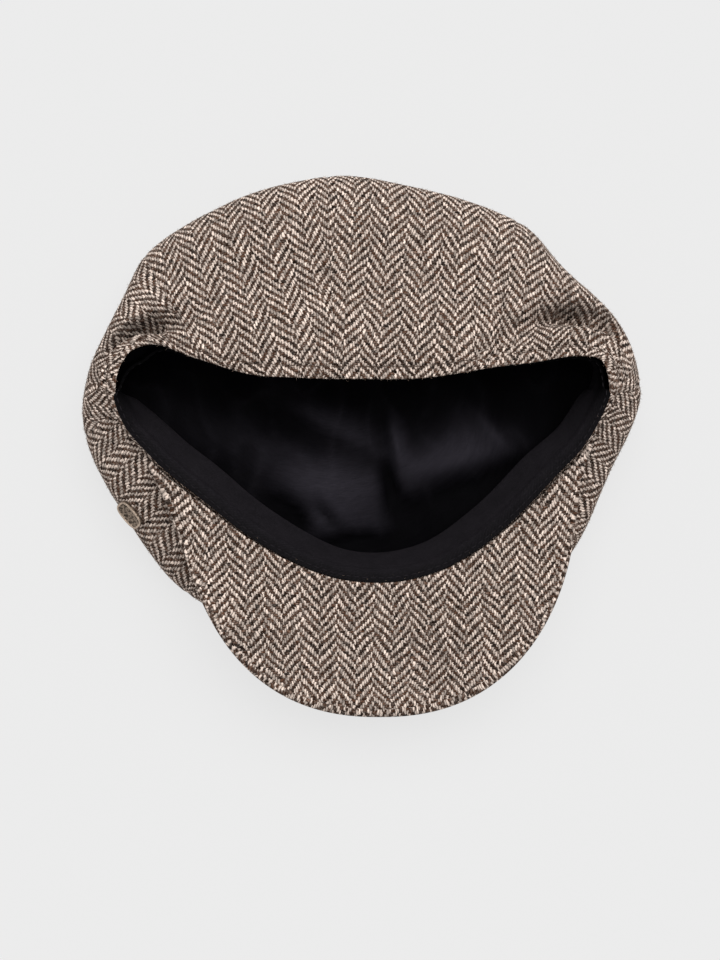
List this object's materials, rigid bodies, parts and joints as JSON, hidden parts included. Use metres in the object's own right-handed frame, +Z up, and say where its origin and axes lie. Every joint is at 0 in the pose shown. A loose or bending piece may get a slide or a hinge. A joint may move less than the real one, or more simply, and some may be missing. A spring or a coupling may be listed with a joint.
{
  "type": "baker boy cap",
  "caption": "Soft tweed baker boy cap of tapered gores with a short stiff peak, black lining and sweatband, lying on its crown with the head opening up.",
  "frame": {"origin": "on the floor, under the middle of the cap's box", "axes": "+Z up out of the head opening, +Y toward the back of the crown, -Y toward the peak, +X toward the wearer's right side"},
  "size_m": [0.2747, 0.2646, 0.057],
  "materials": {
    "tweed": "wool herringbone twill, cream warp over dark brown weft, matt",
    "lining": "fine black plain-weave lining with a slight sheen",
    "band": "black satin-faced cotton tape with a row of stitches",
    "badge": "antique brass, darkened in the recess and bright on the border"
  },
  "bodies": {
    "root": {"crown_gore_right_rear": "tweed", "crown_gore_back_right": "tweed", "crown_gore_back_left": "tweed", "crown_gore_left_rear": "tweed", "crown_gore_left_fore": "tweed", "crown_gore_front_left": "tweed", "crown_gore_front_right": "tweed", "crown_gore_right_fore": "tweed", "lining": "lining", "sweatband": "band", "peak_under_cloth": "tweed", "peak_upper_cloth": "tweed", "side_badge": "badge"}
  },
  "joints": []
}
